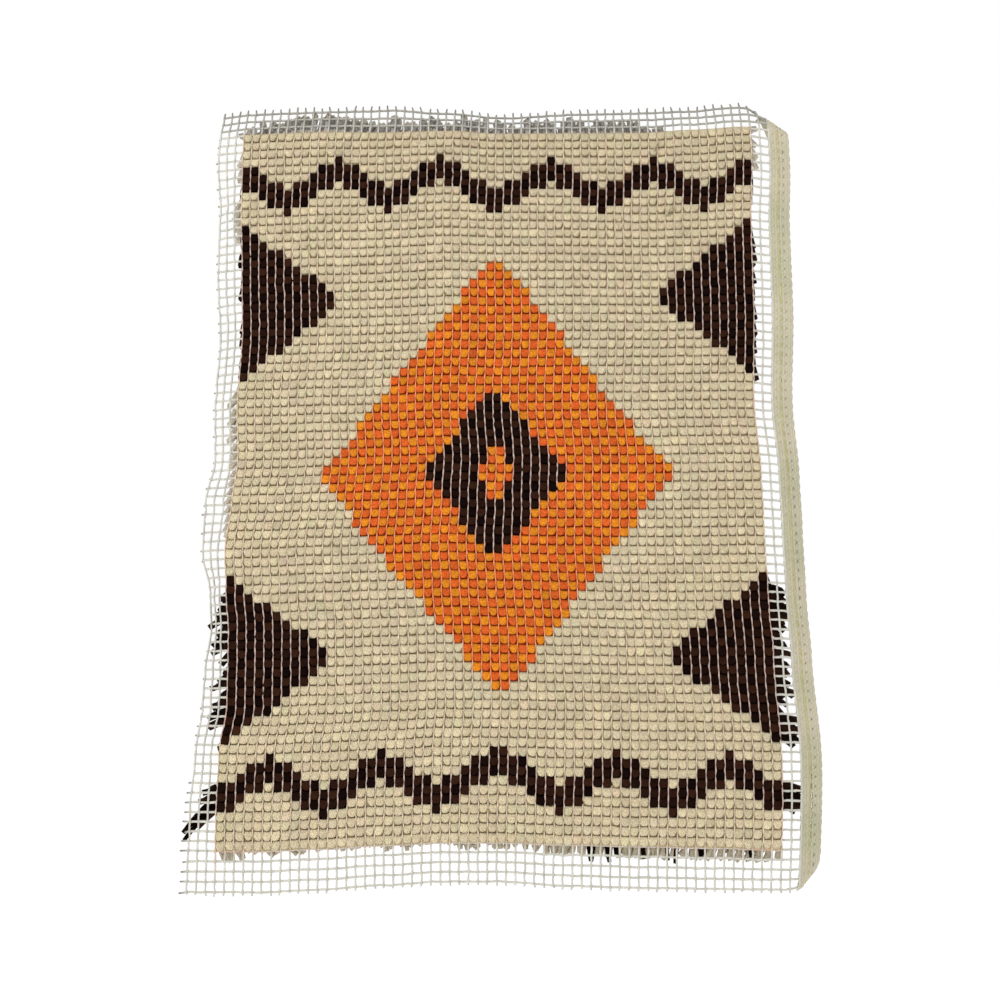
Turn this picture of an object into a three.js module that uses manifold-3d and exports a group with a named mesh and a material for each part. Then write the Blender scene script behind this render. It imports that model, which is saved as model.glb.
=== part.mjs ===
import * as THREE from 'three';
import { mergeVertices } from 'three/addons/utils/BufferGeometryUtils.js';
import Module from 'manifold-3d';

// Latch hook wall hanging, hung by its raw top edge with the canvas side to
// the front. Millimetres, +Z up. The canvas side looks along -Y, the cut pile
// stands on the +Y side, and the origin is the middle of the top edge.
//
// The cloth is laid out flat in two lengths along itself: `across`, from the
// middle of the knotted field (+ to the right), and `down`, from the raw top
// edge. hang() carries a point of the flat cloth to where it hangs.

// ---- canvas sizes --------------------------------------------------------
const WARP_PITCH = 6.6;          // hole to hole across
const WEFT_PITCH = 6.7;          // hole to hole down
const KNOT_COLUMNS = 60;
const KNOT_ROWS = 80;
const BARE_HOLES = { left: 3, right: 2 };      // unworked hole columns
const BARE_WEFTS = { top: 3, bottom: 5 };      // unworked weft threads
const THREAD_STUB = { left: 2, top: 5, bottom: 1 };  // cut thread ends past the last thread
const SELVEDGE_WIDTH = 17;       // closely woven band down the right side
const CANVAS_THICK = 2.0;

// ---- yarn sizes ----------------------------------------------------------
const PIECE_GAP = 0.3;           // clearance between neighbouring pieces
const KNOT_PROUD = 2.4;          // loops of the knots, on the canvas side
const PILE_DEPTH = 24;           // cut ends, from the canvas to their tips
const PILE_INSET = 1.0;          // pile starts this far inside the knotted field
// How the pile spreads between the canvas and its tips: a row for each level.
const PILE_LEVELS = [
  { depth: 0.00, splay: 0.0, droop: 0.0, rise: 0.0 },
  { depth: 0.36, splay: 4.5, droop: 4.0, rise: -1.5 },
  { depth: 0.76, splay: 6.0, droop: 10.0, rise: -5.0 },
  { depth: 1.00, splay: 1.0, droop: 7.0, rise: -11.0 },
];
const PILE_LEAN = 8 / 24;        // tips hang lower than their knots
const PILE_RIPPLE = { height: 1.2, across: 61, down: 47 };

// ---- how the cloth hangs out of true --------------------------------------
// Each edge of the knotted field: `shift` moves it in its own plane, + right
// or + up, and `roll` turns the bare margin beyond it back from the viewer.
const LEFT_EDGE = [
  { at: 0, shift: 3.0, roll: 13 },
  { at: 40, shift: 1.3, roll: 8 },
  { at: 80, shift: 1.3, roll: 25 },
  { at: 130, shift: 2.8, roll: 12 },
  { at: 180, shift: 4.0, roll: 23 },
  { at: 235, shift: 1.4, roll: 24 },
  { at: 275, shift: 3.0, roll: 21 },
  { at: 310, shift: -0.2, roll: 2 },
  { at: 345, shift: -3.7, roll: 23 },
  { at: 375, shift: -1.6, roll: 49 },
  { at: 402, shift: 0.9, roll: 44 },
  { at: 430, shift: 1.3, roll: 23 },
  { at: 456, shift: 1.3, roll: 15 },
  { at: 492, shift: -3.6, roll: 20 },
  { at: 530, shift: -4.3, roll: 8 },
  { at: 590, shift: -4.2, roll: 0 },
];
const RIGHT_EDGE = [
  { at: 0, shift: -4.2, roll: 8 },
  { at: 50, shift: -3.6, roll: 8 },
  { at: 100, shift: -6.1, roll: 6 },
  { at: 160, shift: -6.6, roll: 3 },
  { at: 238, shift: -9.4, roll: 8 },
  { at: 290, shift: -5.8, roll: 12 },
  { at: 330, shift: -4.8, roll: 13 },
  { at: 380, shift: -3.2, roll: 16 },
  { at: 423, shift: -1.0, roll: 16 },
  { at: 493, shift: 2.0, roll: 12 },
  { at: 590, shift: -1.6, roll: 18 },
];
const TOP_EDGE = [
  { at: -220, shift: 1.4, roll: 14 },
  { at: -196, shift: 1.8, roll: 14 },
  { at: -169, shift: 2.5, roll: 14 },
  { at: -145, shift: 2.9, roll: 14 },
  { at: -83, shift: 1.1, roll: 5 },
  { at: -42, shift: 1.0, roll: 21 },
  { at: 6, shift: -2.3, roll: 26 },
  { at: 67, shift: -2.1, roll: 17 },
  { at: 115, shift: -2.0, roll: 15 },
  { at: 151, shift: -0.2, roll: 19 },
  { at: 190, shift: 1.8, roll: 16 },
  { at: 230, shift: -0.5, roll: 14 },
];
const BOTTOM_EDGE = [
  { at: -225, shift: -0.6, roll: 0 },
  { at: -165, shift: -0.8, roll: 2 },
  { at: -128, shift: 0.8, roll: 0 },
  { at: -79, shift: 3.3, roll: 8 },
  { at: -40, shift: 5.2, roll: 11 },
  { at: 0, shift: 5.2, roll: 12 },
  { at: 53, shift: 3.5, roll: 0 },
  { at: 102, shift: 2.1, roll: 0 },
  { at: 154, shift: 1.0, roll: 3 },
  { at: 194, shift: -0.3, roll: 10 },
  { at: 230, shift: -0.8, roll: 10 },
];
const ROLL_RADIUS = 10;

// Soft swells of the whole cloth: `rise` is towards the viewer.
const SWELLS = [
  { across: -15, down: 98, wide: 62, tall: 58, rise: 8.0 },
  { across: 55, down: 172, wide: 60, tall: 56, rise: 7.0 },
  { across: 122, down: 250, wide: 52, tall: 60, rise: 6.0 },
  { across: -165, down: 232, wide: 60, tall: 70, rise: -6.0 },
  { across: -70, down: 392, wide: 75, tall: 48, rise: 4.0 },
  { across: 130, down: 430, wide: 70, tall: 60, rise: -5.0 },
  { across: 5, down: 505, wide: 70, tall: 42, rise: 4.0 },
];

// Corners that curl back: the fold runs square to (normalX, normalZ), starts
// `start` along it, and turns through `turn` degrees on `radius`.
const CORNER_CURLS = [
  { corner: 'top right', normalX: 0.616, normalZ: 0.788, start: 114.5, radius: 7, turn: 112 },
  { corner: 'bottom right', normalX: 0.73, normalZ: -0.683, start: 546.5, radius: 10, turn: 90 },
];

// ---- fields of yarn --------------------------------------------------------
// Lozenges in knots from the middle of the field (+ right, + down): centre and
// half-diagonals. `hole` names the lozenge that is worked inside it.
const LOZENGES = [
  { field: 'medallion', column: 0, row: 0, halfColumns: 20, halfRows: 25, hole: 'core', colour: 'orange' },
  { field: 'core', column: 0, row: 0, halfColumns: 8, halfRows: 10, hole: null, colour: 'brown' },
  { field: 'side_upper_left', column: -30, row: -20, halfColumns: 12, halfRows: 9, hole: null, colour: 'brown' },
  { field: 'side_upper_right', column: 30, row: -20, halfColumns: 12, halfRows: 9, hole: null, colour: 'brown' },
  { field: 'side_lower_left', column: -30, row: 20, halfColumns: 12, halfRows: 9, hole: null, colour: 'brown' },
  { field: 'side_lower_right', column: 30, row: 20, halfColumns: 12, halfRows: 9, hole: null, colour: 'brown' },
];
const YARN = {
  cream: new THREE.MeshStandardMaterial({ color: 0xddcfa6, roughness: 0.95, metalness: 0 }),
  orange: new THREE.MeshStandardMaterial({ color: 0xe2782a, roughness: 0.95, metalness: 0 }),
  brown: new THREE.MeshStandardMaterial({ color: 0x2f1c14, roughness: 0.95, metalness: 0 }),
};
const CANVAS = new THREE.MeshStandardMaterial({ color: 0xcdc8b8, roughness: 0.85, metalness: 0 });

// ---- steps of the faceted cloth --------------------------------------------
const FIELD_STEP = 33.5;         // across and down the knotted field
const MARGIN_STEP = 6.2;         // in the bare margins, which roll and curl
const CURL_STEP = 9;             // down the part of the field beside a curl

// ---- derived -----------------------------------------------------------------
const DEG = Math.PI / 180;
const HALF_FIELD = KNOT_COLUMNS * WARP_PITCH / 2;
const FIELD_TOP = (BARE_WEFTS.top - 0.5) * WEFT_PITCH + THREAD_STUB.top;
const FIELD_BOTTOM = FIELD_TOP + KNOT_ROWS * WEFT_PITCH;
const FIELD_MIDDLE = (FIELD_TOP + FIELD_BOTTOM) / 2;
const CANVAS_LEFT = -HALF_FIELD - BARE_HOLES.left * WARP_PITCH - THREAD_STUB.left;
const CANVAS_RIGHT = HALF_FIELD + BARE_HOLES.right * WARP_PITCH + SELVEDGE_WIDTH;
const CANVAS_BOTTOM = FIELD_BOTTOM + (BARE_WEFTS.bottom - 0.5) * WEFT_PITCH + THREAD_STUB.bottom;

const clamp01 = (f) => Math.min(1, Math.max(0, f));

// Value of a column of an edge table, eased between its rows.
function along(table, column, at) {
  if (at <= table[0].at) return table[0][column];
  for (let i = 1; i < table.length; i++) {
    const a = table[i - 1], b = table[i];
    if (at <= b.at) {
      const f = (at - a.at) / (b.at - a.at);
      return a[column] + (b[column] - a[column]) * f * f * (3 - 2 * f);
    }
  }
  return table[table.length - 1][column];
}

// A strip that turns back on an arc and then runs straight: how far it gets
// forwards and how deep after `length`.
function bend(length, radius, turn) {
  const arc = radius * turn;
  if (length <= 0) return { forward: length, depth: 0 };
  if (length < arc) return { forward: radius * Math.sin(length / radius), depth: radius * (1 - Math.cos(length / radius)) };
  const rest = length - arc;
  return {
    forward: radius * Math.sin(turn) + rest * Math.cos(turn),
    depth: radius * (1 - Math.cos(turn)) + rest * Math.sin(turn),
  };
}

// Where a point of the flat cloth hangs.
function hang(across, down) {
  const fromLeft = clamp01((across + HALF_FIELD) / (2 * HALF_FIELD));
  const fromTop = clamp01((down - FIELD_TOP) / (FIELD_BOTTOM - FIELD_TOP));
  const shiftX = along(LEFT_EDGE, 'shift', down) * (1 - fromLeft) + along(RIGHT_EDGE, 'shift', down) * fromLeft;
  const shiftZ = along(TOP_EDGE, 'shift', across) * (1 - fromTop) + along(BOTTOM_EDGE, 'shift', across) * fromTop;

  const left = bend(-HALF_FIELD - across, ROLL_RADIUS, along(LEFT_EDGE, 'roll', down) * DEG);
  const right = bend(across - HALF_FIELD, ROLL_RADIUS, along(RIGHT_EDGE, 'roll', down) * DEG);
  const top = bend(FIELD_TOP - down, ROLL_RADIUS, along(TOP_EDGE, 'roll', across) * DEG);
  const bottom = bend(down - FIELD_BOTTOM, ROLL_RADIUS, along(BOTTOM_EDGE, 'roll', across) * DEG);

  let x = across;
  if (left.forward > 0) x = -HALF_FIELD - left.forward;
  if (right.forward > 0) x = HALF_FIELD + right.forward;
  let d = down;
  if (top.forward > 0) d = FIELD_TOP - top.forward;
  if (bottom.forward > 0) d = FIELD_BOTTOM + bottom.forward;
  x += shiftX;
  let z = -d + shiftZ;
  let y = left.depth + right.depth + top.depth + bottom.depth;

  for (const swell of SWELLS) {
    const a = (across - swell.across) / swell.wide, b = (down - swell.down) / swell.tall;
    y -= swell.rise * Math.exp(-(a * a + b * b) / 2);
  }
  for (const curl of CORNER_CURLS) {
    const beyond = x * curl.normalX + z * curl.normalZ - curl.start;
    if (beyond <= 0) continue;
    const turned = bend(beyond, curl.radius, curl.turn * DEG);
    x += (turned.forward - beyond) * curl.normalX;
    z += (turned.forward - beyond) * curl.normalZ;
    y += turned.depth;
  }
  return new THREE.Vector3(x, y, z);
}

// Direction square to the cloth, away from the viewer.
function behind(across, down) {
  const step = 0.5;
  const a = hang(across + step, down).sub(hang(across - step, down));
  const b = hang(across, down - step).sub(hang(across, down + step));
  return b.cross(a).normalize();
}

// Evenly spaced stops from one end to the other, at most `step` apart.
function stops(from, to, step) {
  const n = Math.max(1, Math.ceil((to - from) / step - 1e-6));
  return Array.from({ length: n + 1 }, (_, i) => from + (to - from) * i / n);
}
const joined = (...runs) => runs.flat().filter((s, i, all) => i === 0 || Math.abs(s - all[i - 1]) > 1e-6);

const FIELD_ACROSS = stops(-HALF_FIELD, HALF_FIELD, FIELD_STEP);
const FIELD_DOWN = joined(
  stops(FIELD_TOP, FIELD_TOP + 3 * CURL_STEP, CURL_STEP),
  stops(FIELD_TOP + 3 * CURL_STEP, FIELD_BOTTOM, FIELD_STEP),
);
const CANVAS_ACROSS = joined(
  stops(CANVAS_LEFT, -HALF_FIELD, MARGIN_STEP), FIELD_ACROSS, stops(HALF_FIELD, CANVAS_RIGHT, MARGIN_STEP));
const CANVAS_DOWN = joined(
  stops(0, FIELD_TOP, MARGIN_STEP), FIELD_DOWN, stops(FIELD_BOTTOM, CANVAS_BOTTOM, MARGIN_STEP));

// Closed solid through sheets of points: levels[k](i, j) is the point of level
// k, the first nearest the viewer. Only the rim joins the levels between.
function layered(columns, rows, levels) {
  const vertices = [];
  const index = levels.map(() => new Map());
  const last = levels.length - 1;
  const id = (k, i, j) => {
    const key = i * rows + j;
    if (!index[k].has(key)) {
      index[k].set(key, vertices.length / 3);
      vertices.push(...levels[k](i, j).toArray());
    }
    return index[k].get(key);
  };
  const triangles = [];
  const quad = (a, b, c, d) => triangles.push(a, b, c, a, c, d);
  for (let i = 0; i < columns - 1; i++) {
    for (let j = 0; j < rows - 1; j++) {
      quad(id(0, i, j), id(0, i, j + 1), id(0, i + 1, j + 1), id(0, i + 1, j));
      quad(id(last, i, j), id(last, i + 1, j), id(last, i + 1, j + 1), id(last, i, j + 1));
    }
  }
  const rim = [];
  for (let j = 0; j < rows - 1; j++) rim.push([0, j]);
  for (let i = 0; i < columns - 1; i++) rim.push([i, rows - 1]);
  for (let j = rows - 1; j > 0; j--) rim.push([columns - 1, j]);
  for (let i = columns - 1; i > 0; i--) rim.push([i, 0]);
  for (let k = 0; k < last; k++) {
    rim.forEach(([i, j], n) => {
      const [p, q] = rim[(n + 1) % rim.length];
      quad(id(k, i, j), id(k + 1, i, j), id(k + 1, p, q), id(k, p, q));
    });
  }
  const geometry = new THREE.BufferGeometry();
  geometry.setAttribute('position', new THREE.Float32BufferAttribute(vertices, 3));
  geometry.setIndex(triangles);
  return geometry;
}

// A sheet of the cloth between two distances behind its middle surface.
function sheet(acrossStops, downStops, front, back) {
  const at = (offset) => (i, j) => hang(acrossStops[i], downStops[j])
    .addScaledVector(behind(acrossStops[i], downStops[j]), offset);
  return layered(acrossStops.length, downStops.length, [at(front), at(back)]);
}

// The whole pile: it starts behind the canvas, spreads past the field's sides
// and foot, and hangs down at its tips.
function pileBlock() {
  const start = CANVAS_THICK / 2 + PIECE_GAP;
  const lastColumn = FIELD_ACROSS.length - 1, lastRow = FIELD_DOWN.length - 1;
  const level = ({ depth, splay, droop, rise }) => (i, j) => {
    const across = FIELD_ACROSS[i], down = FIELD_DOWN[j];
    const inAcross = i === 0 ? PILE_INSET : i === lastColumn ? -PILE_INSET : 0;
    const inDown = j === 0 ? PILE_INSET : j === lastRow ? -PILE_INSET : 0;
    const p = hang(across + inAcross, down + inDown);
    const ripple = depth * PILE_RIPPLE.height * Math.sin(across / PILE_RIPPLE.across * 2 * Math.PI)
      * Math.cos(down / PILE_RIPPLE.down * 2 * Math.PI);
    p.addScaledVector(behind(across + inAcross, down + inDown), start + depth * PILE_DEPTH + ripple);
    if (i === 0) p.x -= splay;
    if (i === lastColumn) p.x += splay;
    if (j === 0) p.z += rise;
    if (j === lastRow) p.z -= droop;
    if (j > 0 && j < lastRow) p.z -= depth * PILE_LEAN * PILE_DEPTH * Math.min(1, j / 3);
    return p;
  };
  return layered(FIELD_ACROSS.length, FIELD_DOWN.length, PILE_LEVELS.map(level));
}

// ---- joining and cutting ------------------------------------------------------
const wasm = await Module();
wasm.setup();

function solid(geometry) {
  const bare = geometry.clone();
  bare.deleteAttribute('normal');
  bare.deleteAttribute('uv');
  const merged = mergeVertices(bare, 1e-4);
  return new wasm.Manifold(new wasm.Mesh({
    numProp: 3,
    vertProperties: new Float32Array(merged.attributes.position.array),
    triVerts: new Uint32Array(merged.index.array),
  }));
}

function geometryOf(manifold) {
  const mesh = manifold.getMesh();
  const geometry = new THREE.BufferGeometry();
  geometry.setAttribute('position', new THREE.Float32BufferAttribute(mesh.vertProperties, 3));
  geometry.setIndex(Array.from(mesh.triVerts));
  return geometry;
}

// A lozenge right through the cloth, its sides moved out by `grow`. It leans
// with the pile, so that each knot and its own tips stay in one field.
function lozengeThrough({ column, row, halfColumns, halfRows }, grow, lean) {
  const reach = 80;
  const a = halfColumns * WARP_PITCH, b = halfRows * WEFT_PITCH, side = Math.hypot(a, b);
  const halfA = a + grow * side / b, halfB = b + grow * side / a;
  const centre = hang(column * WARP_PITCH, FIELD_MIDDLE + row * WEFT_PITCH);
  const outline = new THREE.Shape([
    new THREE.Vector2(halfA, 0), new THREE.Vector2(0, halfB),
    new THREE.Vector2(-halfA, 0), new THREE.Vector2(0, -halfB)]);
  const prism = new THREE.ExtrudeGeometry(outline, { depth: 2 * reach, bevelEnabled: false });
  prism.translate(0, 0, -reach);
  prism.rotateX(Math.PI / 2);
  const slant = new THREE.Matrix4().set(1, 0, 0, 0, 0, 1, 0, 0, 0, -lean, 1, 0, 0, 0, 0, 1);
  prism.applyMatrix4(slant);
  prism.translate(centre.x, 0, centre.z);
  return solid(prism);
}

// ---- the hanging ----------------------------------------------------------------
const hanging = new THREE.Group();

function place(name, geometry, material) {
  geometry.computeVertexNormals();
  const mesh = new THREE.Mesh(geometry, material);
  mesh.name = name;
  hanging.add(mesh);
}

place('canvas', sheet(CANVAS_ACROSS, CANVAS_DOWN, -CANVAS_THICK / 2, CANVAS_THICK / 2), CANVAS);

// Knot loops in front of the canvas and pile behind it, each parted into the
// ground and its lozenges.
const LAYERS = [
  {
    layer: 'knots',
    lean: 0,
    whole: solid(sheet(FIELD_ACROSS, FIELD_DOWN,
      -CANVAS_THICK / 2 - PIECE_GAP - KNOT_PROUD, -CANVAS_THICK / 2 - PIECE_GAP)),
  },
  { layer: 'pile', lean: PILE_LEAN, whole: solid(pileBlock()) },
];
for (const { layer, lean, whole } of LAYERS) {
  let ground = whole;
  for (const lozenge of LOZENGES) {
    let field = whole.intersect(lozengeThrough(lozenge, 0, lean));
    const hole = LOZENGES.find((other) => other.field === lozenge.hole);
    if (hole) field = field.subtract(lozengeThrough(hole, PIECE_GAP, lean));
    place(`${layer}_${lozenge.field}`, geometryOf(field), YARN[lozenge.colour]);
    ground = ground.subtract(lozengeThrough(lozenge, PIECE_GAP, lean));
  }
  place(`${layer}_ground`, geometryOf(ground), YARN.cream);
}

export default hanging;
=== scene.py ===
"""Latch hook wall hanging, seen from its canvas side.

The flat cloth is laid out in millimetres: `across` from the middle of the
knotted field (+ right) and `down` from the raw top edge. hang() carries a flat
point to where it hangs, and place() also moves it square to the cloth, + being
towards the pile. Every thread, knot and pile end is a joined mesh from arrays.
"""

import math

import bpy
import numpy as np
from mathutils import Matrix, Vector


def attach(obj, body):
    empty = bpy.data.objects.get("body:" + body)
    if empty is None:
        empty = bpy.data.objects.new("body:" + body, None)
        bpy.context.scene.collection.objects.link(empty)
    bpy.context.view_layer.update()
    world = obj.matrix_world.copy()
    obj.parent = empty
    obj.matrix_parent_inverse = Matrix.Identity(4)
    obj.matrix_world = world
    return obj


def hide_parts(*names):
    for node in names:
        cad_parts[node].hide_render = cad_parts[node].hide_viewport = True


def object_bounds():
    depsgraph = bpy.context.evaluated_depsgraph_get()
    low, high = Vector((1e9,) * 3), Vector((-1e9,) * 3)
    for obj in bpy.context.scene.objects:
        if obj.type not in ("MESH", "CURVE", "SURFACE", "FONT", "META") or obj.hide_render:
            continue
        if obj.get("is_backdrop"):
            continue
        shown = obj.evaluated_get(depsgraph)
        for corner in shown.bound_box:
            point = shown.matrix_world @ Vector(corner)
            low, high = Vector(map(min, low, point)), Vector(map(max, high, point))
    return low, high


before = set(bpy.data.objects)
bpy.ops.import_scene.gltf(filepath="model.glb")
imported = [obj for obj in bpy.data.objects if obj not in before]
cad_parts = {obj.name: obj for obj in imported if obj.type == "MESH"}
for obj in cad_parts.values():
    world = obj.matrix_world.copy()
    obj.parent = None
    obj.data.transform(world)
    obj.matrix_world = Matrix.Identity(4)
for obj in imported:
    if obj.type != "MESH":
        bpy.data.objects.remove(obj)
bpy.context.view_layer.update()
rng = np.random.default_rng(41)
MM = 0.001

# ---- sizes of the canvas and its yarn, mm ---------------------------------
WARP_PITCH, WEFT_PITCH = 6.6, 6.7
COLUMNS, ROWS = 60, 80
BARE_LEFT, BARE_RIGHT, BARE_TOP, BARE_BOTTOM = 3, 2, 3, 5
STUB_TOP, STUB_LEFT, STUB_BOTTOM = 5.0, 2.0, 1.0
SELVEDGE = 17.0
WIDE_HOLE = 7.3      # the open holes beside the selvedge
FOOT_PITCH = 7.05    # weft to weft below the field
WEFT_AT = 0.04       # a knot hangs from its weft, which lies at the top of its hole
HALF_FIELD = COLUMNS * WARP_PITCH / 2
FIELD_TOP = (BARE_TOP - 0.5) * WEFT_PITCH + STUB_TOP
FIELD_BOTTOM = FIELD_TOP + ROWS * WEFT_PITCH
CANVAS_LEFT = -HALF_FIELD - BARE_LEFT * WARP_PITCH - STUB_LEFT
CANVAS_RIGHT = HALF_FIELD + BARE_RIGHT * WARP_PITCH + SELVEDGE
CANVAS_BOTTOM = FIELD_BOTTOM + (BARE_BOTTOM - 0.5) * WEFT_PITCH + STUB_BOTTOM

# ---- how the cloth hangs: the same tables as the solids -------------------
# at, shift of the field's edge, roll of the margin beyond it in degrees
LEFT_EDGE = np.array([
    (0, 3.0, 13), (40, 1.3, 8), (80, 1.3, 25), (130, 2.8, 12), (180, 4.0, 23), (235, 1.4, 24), (275, 3.0, 21),
    (310, -0.2, 2), (345, -3.7, 23), (375, -1.6, 49), (402, 0.9, 44), (430, 1.3, 23), (456, 1.3, 15), (492, -3.6, 20),
    (530, -4.3, 8), (590, -4.2, 0)], float)
RIGHT_EDGE = np.array([
    (0, -4.2, 8), (50, -3.6, 8), (100, -6.1, 6), (160, -6.6, 3), (238, -9.4, 8), (290, -5.8, 12), (330, -4.8, 13),
    (380, -3.2, 16), (423, -1.0, 16), (493, 2.0, 12), (590, -1.6, 18)], float)
TOP_EDGE = np.array([
    (-220, 1.4, 14), (-196, 1.8, 14), (-169, 2.5, 14), (-145, 2.9, 14), (-83, 1.1, 5), (-42, 1.0, 21), (6, -2.3, 26),
    (67, -2.1, 17), (115, -2.0, 15), (151, -0.2, 19), (190, 1.8, 16), (230, -0.5, 14)], float)
BOTTOM_EDGE = np.array([
    (-225, -0.6, 0), (-165, -0.8, 2), (-128, 0.8, 0), (-79, 3.3, 8), (-40, 5.2, 11), (0, 5.2, 12), (53, 3.5, 0),
    (102, 2.1, 0), (154, 1.0, 3), (194, -0.3, 10), (230, -0.8, 10)], float)
ROLL_RADIUS = 10.0
# across, down, wide, tall, rise towards the viewer
SWELLS = [(-15, 98, 62, 58, 8.0), (55, 172, 60, 56, 7.0), (122, 250, 52, 60, 6.0), (-165, 232, 60, 70, -6.0),
          (-70, 392, 75, 48, 4.0), (130, 430, 70, 60, -5.0), (5, 505, 70, 42, 4.0)]
# direction of the curl, where it starts, radius, degrees turned
CURLS = [(0.616, 0.788, 114.5, 7.0, 112.0), (0.73, -0.683, 546.5, 10.0, 90.0)]


def along(table, column, at):
    i = np.clip(np.searchsorted(table[:, 0], at, side="left"), 1, len(table) - 1)
    a, b = table[i - 1], table[i]
    f = np.clip((at - a[..., 0]) / (b[..., 0] - a[..., 0]), 0, 1)
    return a[..., column] + (b[..., column] - a[..., column]) * f * f * (3 - 2 * f)


def bend(length, radius, turn):
    on = np.clip(length, 0, radius * turn) / radius
    rest = np.maximum(length - radius * turn, 0)
    forward = radius * np.sin(on) + rest * np.cos(turn)
    depth = radius * (1 - np.cos(on)) + rest * np.sin(turn)
    return np.where(length <= 0, length, forward), np.where(length <= 0, 0.0, depth)


def hang(across, down):
    across, down = np.broadcast_arrays(np.asarray(across, float), np.asarray(down, float))
    from_left = np.clip((across + HALF_FIELD) / (2 * HALF_FIELD), 0, 1)
    from_top = np.clip((down - FIELD_TOP) / (FIELD_BOTTOM - FIELD_TOP), 0, 1)
    shift_x = along(LEFT_EDGE, 1, down) * (1 - from_left) + along(RIGHT_EDGE, 1, down) * from_left
    shift_z = along(TOP_EDGE, 1, across) * (1 - from_top) + along(BOTTOM_EDGE, 1, across) * from_top
    lf, ld = bend(-HALF_FIELD - across, ROLL_RADIUS, np.radians(along(LEFT_EDGE, 2, down)))
    rf, rd = bend(across - HALF_FIELD, ROLL_RADIUS, np.radians(along(RIGHT_EDGE, 2, down)))
    tf, td = bend(FIELD_TOP - down, ROLL_RADIUS, np.radians(along(TOP_EDGE, 2, across)))
    bf, bd = bend(down - FIELD_BOTTOM, ROLL_RADIUS, np.radians(along(BOTTOM_EDGE, 2, across)))
    x = np.where(lf > 0, -HALF_FIELD - lf, np.where(rf > 0, HALF_FIELD + rf, across)) + shift_x
    z = -np.where(tf > 0, FIELD_TOP - tf, np.where(bf > 0, FIELD_BOTTOM + bf, down)) + shift_z
    y = ld + rd + td + bd
    for sa, sd, wide, tall, rise in SWELLS:
        y = y - rise * np.exp(-(((across - sa) / wide) ** 2 + ((down - sd) / tall) ** 2) / 2)
    for nx, nz, start, radius, turn in CURLS:
        beyond = x * nx + z * nz - start
        forward, depth = bend(beyond, radius, math.radians(turn))
        moved = np.where(beyond > 0, forward - beyond, 0.0)
        x, z, y = x + moved * nx, z + moved * nz, y + depth
    return np.stack([x, y, z], -1)


def unit(v):
    return v / np.maximum(np.linalg.norm(v, axis=-1, keepdims=True), 1e-9)


def behind(across, down, step=0.5):
    a = hang(across + step, down) - hang(across - step, down)
    b = hang(across, down - step) - hang(across, down + step)
    return unit(np.cross(b, a))


def place(across, down, off):
    across, down, off = np.broadcast_arrays(np.asarray(across, float), np.asarray(down, float), np.asarray(off, float))
    return hang(across, down) + behind(across, down) * off[..., None]


# ---- colours ----------------------------------------------------------------
def lin(r, g, b):
    c = np.array([r, g, b], float) / 255
    return np.where(c <= 0.04045, c / 12.92, ((c + 0.055) / 1.055) ** 2.4)


CREAM, ORANGE, BROWN = 0, 1, 2
CREAM_YARN = lin(220, 205, 169)
AMBER_YARN, FLAME_YARN = lin(232, 141, 36), lin(224, 101, 40)
BROWN_YARN, DARK_YARN = lin(56, 32, 21), lin(21, 10, 8)
# painted shade: yarn down in the hole, under its loop, darker and deeper in colour where it shows in the gaps
GAP_SHADE_YARN = np.stack([lin(214, 190, 136), lin(198, 46, 0), lin(22, 10, 7)])
# painted shade: greys for the pile ends at the top edge, at the sides and at the foot
SHADE_GREY, HALF_SHADE_END, FOOT_SHADOW_END = lin(166, 163, 163), lin(228, 220, 212), lin(168, 157, 138)
BARE_THREAD = lin(223, 220, 208)
THREAD_ON = np.stack([lin(232, 211, 186), lin(252, 160, 108), lin(214, 186, 174)])
PRINT_PINK = lin(238, 176, 158)
# painted shade: the grey of the threads' cut ends
STUB_SHADE_GREY = lin(120, 119, 112)
SELVEDGE_BEIGE, SELVEDGE_GREEN = lin(215, 206, 180), lin(203, 199, 170)
GOLD_THREAD = lin(200, 190, 112)

# ---- the worked design: lozenges and zigzags counted in knots -----------------
knot_u = np.arange(COLUMNS) + 0.5 - COLUMNS / 2
knot_v = np.arange(ROWS) + 0.5 - ROWS / 2
U, V = np.meshgrid(knot_u, knot_v)
ROW, COL = np.meshgrid(np.arange(ROWS), np.arange(COLUMNS), indexing="ij")


def lozenge(column, row, half_columns, half_rows):
    return np.abs(U - column) / half_columns + np.abs(V - row) / half_rows < 1


yarn = np.full((ROWS, COLUMNS), CREAM)
yarn[lozenge(0, 0, 20, 25)] = ORANGE
yarn[lozenge(0, 0, 8, 10)] = BROWN
yarn[lozenge(0, 0, 2.6, 3.2)] = ORANGE
for column, row in ((-30, -20), (30, -20), (-30, 20), (30, 20)):
    yarn[lozenge(column, row, 12, 9)] = BROWN
phase = (np.floor(np.abs(U)) + 6) % 12
zigzag = np.round(np.minimum(phase, 12 - phase) * 4 / 6)
from_edge = np.minimum(ROW, ROWS - 1 - ROW)
yarn[(from_edge >= 3 + zigzag) & (from_edge < 6 + zigzag)] = BROWN

checker = (ROW + COL) % 2
knot_tint = np.empty((ROWS, COLUMNS, 3))
knot_tint[yarn == CREAM] = CREAM_YARN
knot_tint[yarn == ORANGE] = np.where(checker[yarn == ORANGE][:, None] == 0, AMBER_YARN, FLAME_YARN)
dark = np.clip(checker * 0.62 + 0.19 + rng.normal(0, 0.22, checker.shape), 0, 1)[..., None]
knot_tint[yarn == BROWN] = (BROWN_YARN * (1 - dark) + DARK_YARN * dark)[yarn == BROWN]
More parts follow.
